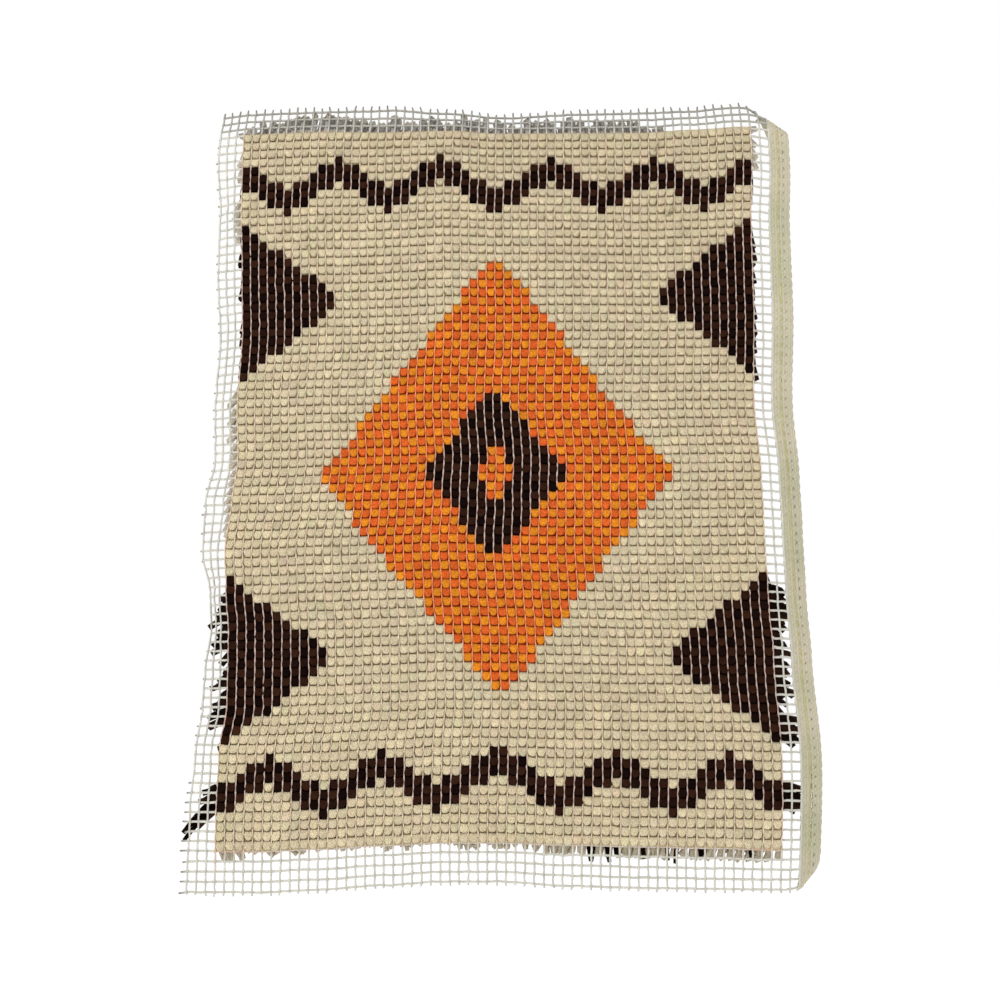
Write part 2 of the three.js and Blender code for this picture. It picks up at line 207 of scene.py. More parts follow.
# painted shade and light: the top rows are darker and the foot lighter, for how the light falls
knot_tint *= np.interp(ROW, [0, 8, 40, 79], [0.90, 0.95, 1.0, 1.04])[..., None]
knot_tint *= np.exp(rng.normal(0, 0.055, (ROWS, COLUMNS, 1))) * np.exp(rng.normal(0, 0.015, (ROWS, COLUMNS, 3)))

KNOT_ACROSS = knot_u * WARP_PITCH
KNOT_DOWN = FIELD_TOP + (np.arange(ROWS) + 0.5) * WEFT_PITCH


# ---- meshes from arrays --------------------------------------------------------
class Heap:
    """Vertices, faces, tints and yarn coordinates of many small bodies, joined."""

    def __init__(self):
        self.points, self.tints, self.count = [], [], 0
        self.faces = {3: [], 4: []}
        self.coords = {3: [], 4: []}

    def add(self, points, tints, faces, coords):
        """points (..., 3), tints broadcast to them, faces {3 or 4: (n, size) into points}, coords alike with (u, v)."""
        points = points.reshape(-1, 3)
        self.points.append(points)
        self.tints.append(np.broadcast_to(tints, points.shape).reshape(-1, 3))
        for size, found in faces.items():
            self.faces[size].append(found.reshape(-1, size) + self.count)
            self.coords[size].append(coords[size].reshape(-1, size, 2))
        self.count += len(points)

    def triangles(self):
        return sum(len(f) for f in self.faces[3]) + 2 * sum(len(f) for f in self.faces[4])

    def build(self, name, material):
        points, tints = np.concatenate(self.points), np.concatenate(self.tints)
        loops, coords, sizes = [], [], []
        for size in (4, 3):
            if self.faces[size]:
                f = np.concatenate(self.faces[size])
                loops.append(f.ravel())
                coords.append(np.concatenate(self.coords[size]).reshape(-1, 2))
                sizes.append(np.full(len(f), size))
        loops, coords, sizes = np.concatenate(loops), np.concatenate(coords), np.concatenate(sizes)
        mesh = bpy.data.meshes.new(name)
        mesh.vertices.add(len(points))
        mesh.vertices.foreach_set("co", (points * MM).astype(np.float32).ravel())
        mesh.loops.add(len(loops))
        mesh.loops.foreach_set("vertex_index", loops.astype(np.int32))
        mesh.polygons.add(len(sizes))
        mesh.polygons.foreach_set("loop_start", np.concatenate([[0], np.cumsum(sizes)[:-1]]).astype(np.int32))
        mesh.update(calc_edges=True)
        mesh.polygons.foreach_set("use_smooth", np.ones(len(sizes), bool))
        tint = mesh.attributes.new("tint", "FLOAT_COLOR", "POINT")
        tint.data.foreach_set("color", np.concatenate([tints, np.ones((len(tints), 1))], 1).astype(np.float32).ravel())
        layer = mesh.uv_layers.new(name="yarn")
        layer.data.foreach_set("uv", coords.astype(np.float32).ravel())
        mesh.materials.append(material)
        mesh.update()
        piece = bpy.data.objects.new(name, mesh)
        bpy.context.scene.collection.objects.link(piece)
        return piece


def tubes(heap, centre, radius, across_dir, tint, sides=5, flat=1.0, spin=0.0, start=0.0, first_ring=None, tip=None):
    """n closed tubes: centre (n, k, 3), radius (n, k), across_dir (n, k, 3) roughly square to them.
    first_ring (n, sides, 3) replaces the first ring; tip (n, 3) closes the far end with a point."""
    n, k, _ = centre.shape
    run = np.gradient(centre, axis=1)
    d = unit(run)
    u = unit(across_dir - (across_dir * d).sum(-1, keepdims=True) * d)
    w = np.cross(d, u)
    angle = (np.arange(sides) + 0.5) * 2 * np.pi / sides + np.asarray(spin)[..., None]
    angle = np.broadcast_to(angle, (n, k, sides))
    ring = centre[:, :, None] + radius[:, :, None, None] * (
        np.cos(angle)[..., None] * u[:, :, None] + flat * np.sin(angle)[..., None] * w[:, :, None])
    if first_ring is not None:
        ring[:, 0] = first_ring
    ends = [ring[:, 0].mean(1), ring[:, -1].mean(1) if tip is None else tip]
    points = np.concatenate([ring.reshape(n, -1, 3), np.stack(ends, 1)], 1)
    body = np.arange(n)[:, None, None] * (k * sides + 2)
    i, s = np.meshgrid(np.arange(k - 1), np.arange(sides), indexing="ij")
    t = (s + 1) % sides
    quad = np.stack([i * sides + s, i * sides + t, (i + 1) * sides + t, (i + 1) * sides + s], -1).reshape(1, -1, 4) + body
    s = np.arange(sides)
    t = (s + 1) % sides
    last = (k - 1) * sides
    caps = np.concatenate([
        np.stack([np.full(sides, k * sides), t, s], -1),
        np.stack([np.full(sides, k * sides + 1), last + s, last + t], -1)]).reshape(1, -1, 3) + body
    length = np.concatenate([np.zeros((n, 1)), np.cumsum(np.linalg.norm(np.diff(centre, axis=1), axis=-1), 1)], 1)
    length = length + np.broadcast_to(np.asarray(start, float), (n,))[:, None]
    girth = 2 * np.pi * float(np.mean(radius)) / sides
    i, s = np.meshgrid(np.arange(k - 1), np.arange(sides), indexing="ij")
    v0, v1 = length[:, i.ravel()], length[:, i.ravel() + 1]
    u0 = np.broadcast_to(s.ravel() * girth, v0.shape)
    quad_uv = np.stack([np.stack([u0, v0], -1), np.stack([u0 + girth, v0], -1),
                        np.stack([u0 + girth, v1], -1), np.stack([u0, v1], -1)], 2)
    cap_uv = np.zeros((n, 2 * sides, 3, 2))
    cap_uv[..., 1] = np.repeat(length[:, [0, -1]], sides, 1)[..., None]
    cap_uv[:, :, 1, 0], cap_uv[:, :, 2, 0] = girth, 2 * girth
    tint = np.broadcast_to(tint, (n, k, 3))
    all_tints = np.concatenate([np.repeat(tint, sides, 1), tint[:, [0, -1]]], 1)
    heap.add(points, all_tints.reshape(-1, 3), {4: quad, 3: caps}, {4: quad_uv, 3: cap_uv})


# ---- materials -------------------------------------------------------------------
def fibre_material(name, ply, twist, streak, contrast, bump, rough, sheen, shine=0.25, grain=0.30):
    """Spun thread: tint from the mesh, streaks of fibre and the turns of its plies along it."""
    material = bpy.data.materials.new(name)
    material.use_nodes = True
    tree = material.node_tree
    tree.nodes.clear()
    link = tree.links.new

    def node(kind, **values):
        made = tree.nodes.new(kind)
        for key, value in values.items():
            if key in made.inputs:
                made.inputs[key].default_value = value
            else:
                setattr(made, key, value)
        return made

    def maths(operation, a, b):
        made = tree.nodes.new("ShaderNodeMath")
        made.operation = operation
        for socket, value in zip(made.inputs, (a, b)):
            if isinstance(value, (int, float)):
                socket.default_value = value
            else:
                link(value, socket)
        return made.outputs[0]

    out = node("ShaderNodeOutputMaterial")
    surface = node("ShaderNodeBsdfPrincipled")
    surface.inputs["Specular IOR Level"].default_value = shine
    surface.inputs["Sheen Weight"].default_value = sheen
    surface.inputs["Sheen Roughness"].default_value = 0.6
    link(surface.outputs[0], out.inputs["Surface"])

    tint = node("ShaderNodeAttribute", attribute_name="tint", attribute_type="GEOMETRY")
    coords = node("ShaderNodeUVMap", uv_map="yarn")
    place_ = node("ShaderNodeTexCoord")

    turned = node("ShaderNodeMapping", Rotation=(0, 0, twist))
    link(coords.outputs[0], turned.inputs["Vector"])
    plies = node("ShaderNodeTexWave", wave_type="BANDS", bands_direction="X", wave_profile="SIN", Scale=2 * math.pi / (20 * ply),
                 Distortion=1.1, Detail=1.0)
    plies.inputs["Detail Scale"].default_value = 0.6
    link(turned.outputs[0], plies.inputs["Vector"])
    drawn = node("ShaderNodeMapping", Rotation=(0, 0, twist), Scale=(streak, streak * 0.16, 1))
    link(coords.outputs[0], drawn.inputs["Vector"])
    fibres = node("ShaderNodeTexNoise", Scale=1.0, Detail=4.0, Roughness=0.62)
    link(drawn.outputs[0], fibres.inputs["Vector"])
    fuzz = node("ShaderNodeTexNoise", Scale=880.0, Detail=3.0, Roughness=0.7)
    link(place_.outputs["Object"], fuzz.inputs["Vector"])
    worn = node("ShaderNodeTexNoise", Scale=34.0, Detail=3.0, Roughness=0.55)
    link(place_.outputs["Object"], worn.inputs["Vector"])

    light = maths("MULTIPLY_ADD", fibres.outputs[0], contrast)
    light.node.inputs[2].default_value = 1.0 - 0.5 * contrast
    # painted shade in the grooves between the plies, lighter on their crowns
    light = maths("MULTIPLY", light, maths("ADD", maths("MULTIPLY", plies.outputs["Fac"], 0.16), 0.90))
    light = maths("MULTIPLY", light, maths("ADD", maths("MULTIPLY", fuzz.outputs[0], grain), 1.0 - grain / 2))
    light = maths("MULTIPLY", light, maths("ADD", maths("MULTIPLY", worn.outputs[0], 0.16), 0.92))
    grey = node("ShaderNodeCombineColor")
    for socket in ("Red", "Green", "Blue"):
        link(light, grey.inputs[socket])
    colour = node("ShaderNodeMix", data_type="RGBA", blend_type="MULTIPLY")
    colour.inputs[0].default_value = 1.0
    link(tint.outputs["Color"], colour.inputs[6])
    link(grey.outputs[0], colour.inputs[7])
    link(colour.outputs[2], surface.inputs["Base Color"])

    matt = maths("ADD", maths("MULTIPLY", fuzz.outputs[0], 0.14), rough - 0.07)
    link(matt, surface.inputs["Roughness"])
    height = maths("ADD", maths("MULTIPLY", plies.outputs["Fac"], 0.8), maths("MULTIPLY", fibres.outputs[0], 0.9))
    height = maths("ADD", height, maths("MULTIPLY", fuzz.outputs[0], 0.9))
    relief = node("ShaderNodeBump", Strength=bump, Distance=0.00045)
    link(height, relief.inputs["Height"])
    link(relief.outputs[0], surface.inputs["Normal"])
    return material


CREAM_LOOK = fibre_material("cream_yarn", 1.5, 0.55, 2.6, 0.46, 0.9, 0.93, 0.08, 0.12, 1.5)
ORANGE_LOOK = fibre_material("orange_yarn", 1.5, 0.55, 2.6, 0.50, 0.9, 0.94, 0.02, 0.05, 2.1)
BROWN_LOOK = fibre_material("brown_yarn", 1.5, 0.55, 2.6, 0.70, 0.9, 0.94, 0.0, 0.03, 2.0)
THREAD_LOOK = fibre_material("canvas_thread", 0.55, 0.6, 4.5, 0.36, 0.5, 0.85, 0.08)
SELVEDGE_LOOK = fibre_material("selvedge_weave", 0.62, 0.12, 3.4, 0.34, 0.5, 0.86, 0.08)
LOOKS = {CREAM: CREAM_LOOK, ORANGE: ORANGE_LOOK, BROWN: BROWN_LOOK}

# ---- knots: the loop of each tuft over its weft, on the canvas side -------------------
# Rows of a loop from its top to its rounded foot: t in holes down from the
# weft, half width in holes, and height over the canvas in mm.
LOOP_ROWS = np.array([
    (-0.535, 0.440, 0.25), (-0.42, 0.465, 1.00), (-0.12, 0.474, 1.85), (0.13, 0.452, 2.40), (0.33, 0.365, 2.40), (0.468, 0.180, 1.45)])
LOOP_STOPS = np.array([-1.0, -0.74, -0.38, 0.0, 0.38, 0.74, 1.0])
LOOP_BASE = -0.7


def knots(heap, row, col):
    n = len(row)
    t, half, rise = (LOOP_ROWS[:, i][None, :, None] for i in range(3))
    s = LOOP_STOPS[None, None, :]
    grow = rng.normal(1, 0.10, (n, 1, 1))
    foot = np.clip((t + 0.1) / 0.57, 0, 1)
    wide = np.clip(rng.normal(1, 0.03, (n, 1, 1)), 0.92, 1.06) * (1 + foot * np.clip(rng.normal(0, 0.17, (n, 1, 1)), -0.32, 0.42))
    lean = np.clip(rng.normal(-0.015, 0.065, (n, 1, 1)), -0.15, 0.14)
    tilt = rng.normal(0, 0.05, (n, 1, 1))
    drop = np.clip(rng.normal(0, 0.028, (n, 1, 1)), -0.06, 0.06)
    across = s * half * wide + lean * foot + rng.normal(0, 0.012, (n, 1, 1))
    down = t + drop * (0.3 + foot) + tilt * s * 0.5 * (1 - foot)
    side = 0.62 - 0.30 * foot
    dome = (side + (1 - side) * np.sqrt(np.clip(1 - np.abs(s) ** 3.2, 0, 1))) * (1 - 0.055 * (s == 0)) * (1 + tilt * s)
    up = rise * grow * dome * (1 + rng.normal(0, 0.05, (n, len(LOOP_ROWS), len(LOOP_STOPS))))
    a = KNOT_ACROSS[col][:, None, None] + across * WARP_PITCH
    d = KNOT_DOWN[row][:, None, None] + down * WEFT_PITCH
    front = place(a, d, LOOP_BASE - up)
    back = place(KNOT_ACROSS[col], KNOT_DOWN[row], 0.35)
    jn, sn = len(LOOP_ROWS), len(LOOP_STOPS)
    points = np.concatenate([front.reshape(n, -1, 3), back[:, None]], 1)
    body = np.arange(n)[:, None, None] * (jn * sn + 1)
    j, i = np.meshgrid(np.arange(jn - 1), np.arange(sn - 1), indexing="ij")
    at = j * sn + i
    quad = np.stack([at + sn, at + sn + 1, at + 1, at], -1).reshape(1, -1, 4) + body
    rim = np.concatenate([np.arange(sn - 1) + (jn - 1) * sn, np.arange(jn - 1, 0, -1) * sn + sn - 1,
                          np.arange(sn - 1, 0, -1), np.arange(jn - 1) * sn])
    fan = np.stack([np.full(len(rim), jn * sn), np.roll(rim, -1), rim], -1)[None] + body
    seed = rng.uniform(0, 400, (n, 1, 1, 2))
    uv = np.stack([across * WARP_PITCH, down * WEFT_PITCH], -1).reshape(n, jn, sn, 2) + seed
    flat = np.concatenate([uv.reshape(n, -1, 2), uv[:, 2, 3][:, None]], 1).reshape(-1, 2)
    # painted shade: the sides, the tucked-in top and the foot are darker than the crown, and the hidden back point
    # darker still
    shade = (0.80 + 0.20 * np.clip(dome, 0, 1) ** 0.7) * np.interp(t, [-0.54, -0.42, -0.1, 0.33, 0.47], [0.72, 0.95, 1.02, 1.0, 0.80])
    tint = knot_tint[row, col][:, None, None, :] * np.broadcast_to(shade, (n, jn, sn))[..., None]
    tint = np.concatenate([tint.reshape(n, -1, 3), knot_tint[row, col][:, None] * 0.3], 1)
    heap.add(points, tint.reshape(-1, 3), {4: quad, 3: fan}, {4: flat[quad], 3: flat[fan]})


# ---- pile: two cut ends to each knot ---------------------------------------------------
PILE_STOPS = np.array([0.0, 0.2, 0.58, 0.97])
# how far the pile shows past the field, mm: by row at the sides, for the pale
# yarns and for the dark one, and by column at the foot and the head
REACH_LEFT = np.array([(0, 3, -1), (6, 5.5, -1), (44, 4, -1), (48, -4, 0), (53, -4, 3), (54, -4, 10), (58, -4, 10), (59, -4, 3), (61, -5, 3),
                       (62, -5, 11), (66, -5, 11), (67, -5, 3), (71, -5, 3), (72, -5, 10), (78, -5, 10)], float)
REACH_RIGHT = np.array([(0, 3, -1), (3, 2, -1), (6, -6, -1), (48, -6, 0), (51, -6, 3), (52, -6, 11), (56, -6, 10), (57, -6, 4), (58, -6, 4),
                        (59, -6, 9), (63, -6, 10), (64, -6, 3), (65, -6, 3), (66, -6, 11), (70, -6, 12), (72, -6, 12), (78, -6, 12)], float)
REACH_FOOT = np.array([(0, -1), (1, -2), (3, -9), (22, -9), (26, -6), (33, -4), (36, 2.3), (57, 2.3), (59, 1)], float)
REACH_HEAD = np.array([(0, 2), (1, 5), (4, 7), (5, 9), (13, 9), (15, 7), (46, 7), (48, 5), (50, -1), (56, -3), (59, 1)], float)


def pile(heap, row, col):
    row, col = np.repeat(row, 2), np.repeat(col, 2)
    n = len(row)
    side = np.tile([-1.0, 1.0], n // 2)
    base_a, base_d = KNOT_ACROSS[col] + side * WARP_PITCH / 4, KNOT_DOWN[row]
    normal = behind(base_a, base_d)
    base = place(base_a, base_d, 0.5)
    dark = yarn[row, col] == BROWN
    length = np.clip(rng.normal(26.0, 1.5, n), 21.5, 29.0)

    def lean(reach, inset, depth, steps):
        """Slope that carries a tip `reach` past the field's edge, less for each knot further in."""
        sideways = np.clip((reach + inset) * np.interp(steps, [0, 1, 2, 4, 6], [1, 0.68, 0.45, 0.18, 0]) * rng.normal(1, np.where(dark, 0.13, 0.06)), -4, depth)
        return sideways / np.sqrt(length ** 2 - sideways ** 2)

    def side_reach(table):
        return np.where(dark, np.interp(row, table[:, 0], table[:, 2]), np.interp(row, table[:, 0], table[:, 1]))

    out = lean(side_reach(REACH_RIGHT), 6.5, 20, COLUMNS - 1 - col) - lean(side_reach(REACH_LEFT), 6.5, 20, col)
    low = lean(np.interp(col, REACH_FOOT[:, 0], REACH_FOOT[:, 1]), 6.4, 16, ROWS - 1 - row)
    high = lean(np.interp(col, REACH_HEAD[:, 0], REACH_HEAD[:, 1]), 13.0, 22.5, row)
    edge = np.clip(1.6 * np.maximum(np.abs(out), np.maximum(low, high)), 0, 1)
    rim = np.clip(1 - np.minimum(np.minimum(col, COLUMNS - 1 - col), np.minimum(row, ROWS - 1 - row)) / 3, 0, 1)
    calm = (1 - 0.8 * edge) * (1 - 0.6 * rim)
    go = normal + np.stack([
        rng.normal(0, 0.20, n) * calm + side * 0.05 + out,
        rng.normal(0, 0.05, n),
        rng.normal(0, 0.17, n) * calm - 0.16 * (1 - edge) + side * 0.08 * np.clip(2 * np.abs(out), 0, 1) + high - low], -1)
    go = unit(go)
    sag = rng.uniform(0.30, 0.60, n) * (1 - np.where(dark, 0.25, 0.75) * edge)
    fine = np.linspace(0, 1, 13)
    path = unit(go[:, None] + (fine[None, :, None] * sag[:, None, None]) * np.array([0, 0, -1.0]))
    path = np.concatenate([np.zeros((n, 1, 3)), np.cumsum((path[:, 1:] + path[:, :-1]) / 2, 1)], 1) / 12
    reach = base[:, None] + path * length[:, None, None]
    pick = lambda f: np.stack([reach[:, int(f * 12)] * (1 - (f * 12) % 1) + reach[:, min(12, int(f * 12) + 1)] * ((f * 12) % 1)], 1)
    centre = np.concatenate([pick(f) for f in PILE_STOPS], 1)
    tip = reach[:, -1]
    # the two legs fill their hole where they come through the canvas
    corner = np.array([(1, 1), (-1, 1), (-1, -1), (1, -1)], float)
    root = place(base_a[:, None] + corner[None, :, 0] * WARP_PITCH * 0.255, base_d[:, None] + corner[None, :, 1] * WEFT_PITCH * 0.51, -0.5)
    radius = np.array([2.4, 2.25, 2.15, 2.35])[None] * np.clip(rng.normal(1, 0.07, (n, 1)), 0.85, 1.15) * rng.normal(1, 0.04, (n, 4))
    # ends that lie over at an edge have opened out
    radius[:, 1:] *= (1 + 0.30 * edge * rim)[:, None]
    spin = PILE_STOPS[None] * rng.uniform(0.5, 1.5, (n, 1))
    tint = knot_tint[row, col] * np.exp(rng.normal(0, 0.06, (n, 1)))
    # painted shade: each end is darker a little way out from the canvas and a touch lighter at its tip, and its root
    # ring takes the painted gap shade
    shades = tint[:, None] * np.array([1.0, 0.80, 1.0, 1.04])[None, :, None]
    shades[:, 0] = GAP_SHADE_YARN[yarn[row, col]]
    # painted shade: ends that stand up behind the top edge are greyed, most along their middle
    top_shade = (0.85 * np.clip(1 - row / 2, 0, 1))[:, None, None] * np.array([0, 0.9, 1.0, 0.55])[None, :, None] * (~dark)[:, None, None]
    shades = shades * (1 - top_shade) + SHADE_GREY * top_shade
    # painted shade: those at the other edges are greyer than the ground, paler at the left and top right, darker at the
    # foot
    for at, colour, amount in (((col < 2) & (side_reach(REACH_LEFT) > 0) | (col > COLUMNS - 3) & (row < 6), HALF_SHADE_END, 0.5), (row > ROWS - 3, FOOT_SHADOW_END, 0.7)):
        mix = (at & ~dark)[:, None, None] * np.array([0, amount, amount, amount])[None, :, None]
        shades = shades * (1 - mix) + colour * mix
    tubes(heap, centre, radius, np.broadcast_to(np.array([1.0, 0, 0]), centre.shape), shades,
          sides=4, spin=spin, start=rng.uniform(0, 400, n), first_ring=root, tip=tip)


# ends of the dark pile that have worked round to lie behind the bare margin:
# down and run outwards and downwards at the left, across and the same at the foot
TUFTS_LEFT = [(516, 23, 26), (519, 26, 27), (523, 25, 28), (520, 17, 15), (527, 15, 16)]
TUFTS_FOOT = [(63, 3, 11), (69, -3, 12), (75, 4, 12), (82, 2, 8), (101, 2, 9), (118, 2, 10), (127, -2, 12), (141, 2, 8), (148, -3, 6), (176, 2, 7)]


def tufts():
    """Strands (n, k, 3) behind the margin."""
    paths = []
    t = np.linspace(0, 1, 8)
    for down, out, fall in TUFTS_LEFT:
        a = -HALF_FIELD + 5 - (out + 5) * np.sin(t * 0.9) / math.sin(0.9)
        paths.append((a, down + fall * t ** 1.25, 3.4 + 3.0 * np.sin(t * math.pi)))
    for across, out, fall in TUFTS_FOOT:
        d = FIELD_BOTTOM - 12 + (fall + 12) * t
        paths.append((across + out * t, d, 3.4 + 2.0 * np.sin(t * math.pi)))
    return np.stack([place(*p) for p in paths])


rows_, cols_ = ROW.ravel(), COL.ravel()
kinds_ = yarn.ravel()
tuft_paths = tufts()
made_knots, made_pile = [], []
for kind, label in ((CREAM, "cream"), (ORANGE, "orange"), (BROWN, "brown")):
    chosen = np.flatnonzero(kinds_ == kind)
    parts = np.array_split(chosen, 2) if kind == CREAM else [chosen]
    for number, part in enumerate(parts):
        suffix = f"_{'upper' if number == 0 else 'lower'}" if kind == CREAM else ""
        heap = Heap()
        knots(heap, rows_[part], cols_[part])
        made_knots.append((kind, heap.build(f"knots_{label}{suffix}", LOOKS[kind]), heap.triangles()))
        heap = Heap()
        pile(heap, rows_[part], cols_[part])
        if kind == BROWN:
            n = len(tuft_paths)
            shape = np.interp(np.linspace(0, 1, 8), [0, 0.15, 0.92, 1], [1.4, 1.75, 1.75, 1.5])
            tubes(heap, tuft_paths, shape[None] * rng.normal(1, 0.08, (n, 1)), np.broadcast_to(np.array([0.0, 1.0, 0.0]), tuft_paths.shape),
                  np.where(np.arange(n) == 4, 9.0, np.exp(rng.normal(0, 0.2, n)))[:, None, None] * DARK_YARN, sides=6, start=rng.uniform(0, 400, n))
        made_pile.append((kind, heap.build(f"pile_{label}{suffix}", LOOKS[kind]), heap.triangles()))

# ---- canvas: open leno mesh of warps and wefts -------------------------------------------
WARPS = np.arange(-BARE_LEFT, COLUMNS + BARE_RIGHT + 1)
WEFTS = np.arange(-BARE_TOP, ROWS + BARE_BOTTOM)
weft_down = FIELD_TOP + (WEFTS + WEFT_AT) * WEFT_PITCH + np.maximum(WEFTS - ROWS, 0) * (FOOT_PITCH - WEFT_PITCH)
warp_across = np.where(WARPS <= COLUMNS, WARPS * WARP_PITCH - HALF_FIELD, HALF_FIELD + (WARPS - COLUMNS) * WIDE_HOLE)


def inside(value, low, high, soft):
    return np.clip((value - low) / soft, 0, 1) * np.clip((high - value) / soft, 0, 1)


def print_on(across, down):
    """Tint of a thread: bare in the margins, and touched by the colours printed for the yarns over the field."""
    col = (across + HALF_FIELD) / WARP_PITCH
    row = np.clip(((down - FIELD_TOP) // WEFT_PITCH).astype(int), 0, ROWS - 1)
    a = np.clip(np.floor(col - 0.5).astype(int), 0, COLUMNS - 1)
    b = np.clip(np.floor(col + 0.5).astype(int), 0, COLUMNS - 1)
    worked = (THREAD_ON[yarn[row, a]] + THREAD_ON[yarn[row, b]]) / 2
    amount = inside(across, -HALF_FIELD - 2, HALF_FIELD + 2, 2) * inside(down, FIELD_TOP - 3, FIELD_BOTTOM + 3, 3)
    return BARE_THREAD * (1 - amount[..., None]) + worked * amount[..., None]


def thread_area(across, down, off, radius):
    """Area of threads in square metres, their width along their length, as they lie in the flat cut before it is hung."""
    step = np.linalg.norm(np.diff(np.stack([across, down, off], -1), axis=1), axis=-1)
    return float((step * (radius[:, 1:] + radius[:, :-1])).sum()) * MM * MM


def shaded_top(down):
    """Painted shade: the bare threads above the field grow greyer towards the raw top edge."""
    return np.interp(down, [0, FIELD_TOP - 5, FIELD_TOP], [0.62, 0.74, 1.0])


canvas = Heap()
warp_rows = np.interp(np.arange(2 * len(WEFTS) - 1) / 2, np.arange(len(WEFTS)), weft_down)
n_warps = len(WARPS)
top_end = weft_down[0] - np.clip(rng.normal(3.6, 0.7, n_warps), 2.2, 4.8)
foot_end = weft_down[-1] + np.clip(rng.normal(2.2, 0.4, n_warps), 1.3, 3.2)
down = np.concatenate([top_end[:, None], np.repeat(warp_rows[None], n_warps, 0), foot_end[:, None]], 1)
across = warp_across[:, None] + rng.normal(0, 0.17, down.shape)
across[:, 0] += rng.normal(0, 0.5, n_warps)
across[:, -1] += rng.normal(0, 0.4, n_warps)
over = inside(down, FIELD_TOP, FIELD_BOTTOM, 5) * inside(across, -HALF_FIELD - 4, HALF_FIELD + 4, 3)
at_weft = np.concatenate([[0.0], (np.arange(len(warp_rows)) % 2 == 0) * 1.0, [0.0]])[None]
radius = 0.70 - 0.31 * over + (0.10 + 0.05 * over) * at_weft + rng.normal(0, 0.03, down.shape)
radius[:, 0] *= 0.75
off = -0.35 - 1.60 * over + rng.normal(0, 0.10, down.shape)
# painted shade: in the margins each warp is a little darker where it crosses a weft
tint = print_on(across, down) * np.exp(rng.normal(0, 0.07, down.shape))[..., None] * (1 - 0.10 * at_weft * (1 - over))[..., None]
# painted highlight and shade: over the field each turn of the pair shows as a pale bead on a duller stretch
tint = tint * (1 + over * np.where(at_weft > 0, 0.10, -0.16))[..., None]
# a printed line round the field shows here and there, most at its lower corners
corner = np.exp(-((down - FIELD_BOTTOM + 4) / 16) ** 2)
line = np.isin(WARPS, (0, COLUMNS))[:, None] * (0.45 * corner * (WARPS < 2)[:, None] + np.clip(0.22 * np.sin(down / 23.0 + WARPS[:, None]), 0, 1))
tint = tint * (1 - line[..., None]) + PRINT_PINK * line[..., None]
tint = tint * shaded_top(down)[..., None]
# painted shade: the cut top ends of the warps are grey and the stretch after them darker
tint[:, 0] = STUB_SHADE_GREY
tint[:, 1] = tint[:, 1] * 0.85
centre = place(across, down, off)
net_area = thread_area(across, down, off, radius)
tubes(canvas, centre, radius, behind(across, down), tint, sides=5, start=rng.uniform(0, 400, n_warps))

# wefts: half steps where they are bare, whole steps where loops hide them
left_ends = CANVAS_LEFT + np.interp(weft_down, [0, 505, 520, 600], [0.4, 0.2, -2.6, -3.2]) + rng.normal(0, 0.7, len(WEFTS))
for bare in (True, False):
    chosen = np.flatnonzero(((WEFTS < 0) | (WEFTS >= ROWS)) == bare)
    margin_left = np.arange(-2 * BARE_LEFT, 0) / 2
    margin_right = HALF_FIELD + np.arange(1, 2 * BARE_RIGHT + 1) / 2 * WIDE_HOLE
    middle = np.arange(0, 2 * COLUMNS + 1) / 2 if bare else np.arange(0, COLUMNS + 1)
    stops = np.concatenate([np.concatenate([margin_left, middle]) * WARP_PITCH - HALF_FIELD, margin_right])
    n = len(chosen)
    across = np.concatenate([left_ends[chosen][:, None], np.repeat(stops[None], n, 0), np.full((n, 1), stops[-1] + 3)], 1)
    down = weft_down[chosen][:, None] + rng.normal(0, 0.15, across.shape)
    down[:, 0] += rng.normal(0.3, 0.5, n)
    hidden = inside(across, -HALF_FIELD, HALF_FIELD, 2) * (not bare)
    radius = 0.85 - 0.25 * hidden + rng.normal(0, 0.04, across.shape)
    radius[:, 0] *= 0.75
    off = 0.40 - 0.1 * hidden + rng.normal(0, 0.08, across.shape)
    tint = np.broadcast_to(BARE_THREAD, across.shape + (3,)) * np.exp(rng.normal(0, 0.05, across.shape))[..., None]
    patchy = 0.18 + 0.5 * np.exp(-((across + HALF_FIELD - 12) / 15) ** 2) + 0.4 * np.exp(-((across - HALF_FIELD + 12) / 13) ** 2)
    pink = (WEFTS[chosen] == ROWS)[:, None] * inside(across, -HALF_FIELD, HALF_FIELD, 2) * patchy
    tint = tint * shaded_top(down)[..., None]
    tint = tint * (1 - pink[..., None]) + PRINT_PINK * pink[..., None]
    # painted shade: the cut left ends of the wefts are grey
    tint[:, 0] = STUB_SHADE_GREY * 1.25
    centre = place(across, down, off)
    net_area += thread_area(across, down, off, radius)
    tubes(canvas, centre, radius, behind(across, down), tint, sides=5, start=rng.uniform(0, 400, n))
canvas_piece = canvas.build("canvas_mesh", THREAD_LOOK)

# ---- selvedge: close weave down the right side ---------------------------------------------
BAND_LEFT, BAND_RIGHT = HALF_FIELD + BARE_RIGHT * WIDE_HOLE - 0.4, CANVAS_RIGHT
BAND_COLUMNS = 26
band_across = np.linspace(BAND_LEFT, BAND_RIGHT, BAND_COLUMNS + 1)
STEPS = 6
band_rows = np.arange(len(WEFTS) * STEPS + 1)
band_down = np.linspace(1.2, CANVAS_BOTTOM - 0.6, len(band_rows))
BA, BD = np.meshgrid(band_across, band_down)
beat = (BD - weft_down[0]) / WEFT_PITCH
cord = (BA - BAND_LEFT) / (BAND_RIGHT - BAND_LEFT)
CORDS = 8
which = np.floor(cord * CORDS)
rib = np.abs(np.sin(np.pi * cord * CORDS))
pick_ = np.cos(2 * np.pi * (beat * 2 + 0.5 * (which % 2)))
relief = 0.34 * rib + 0.16 * pick_ * rib + 0.05 * rng.normal(size=BA.shape)
edge = np.minimum(cord, 1 - cord)
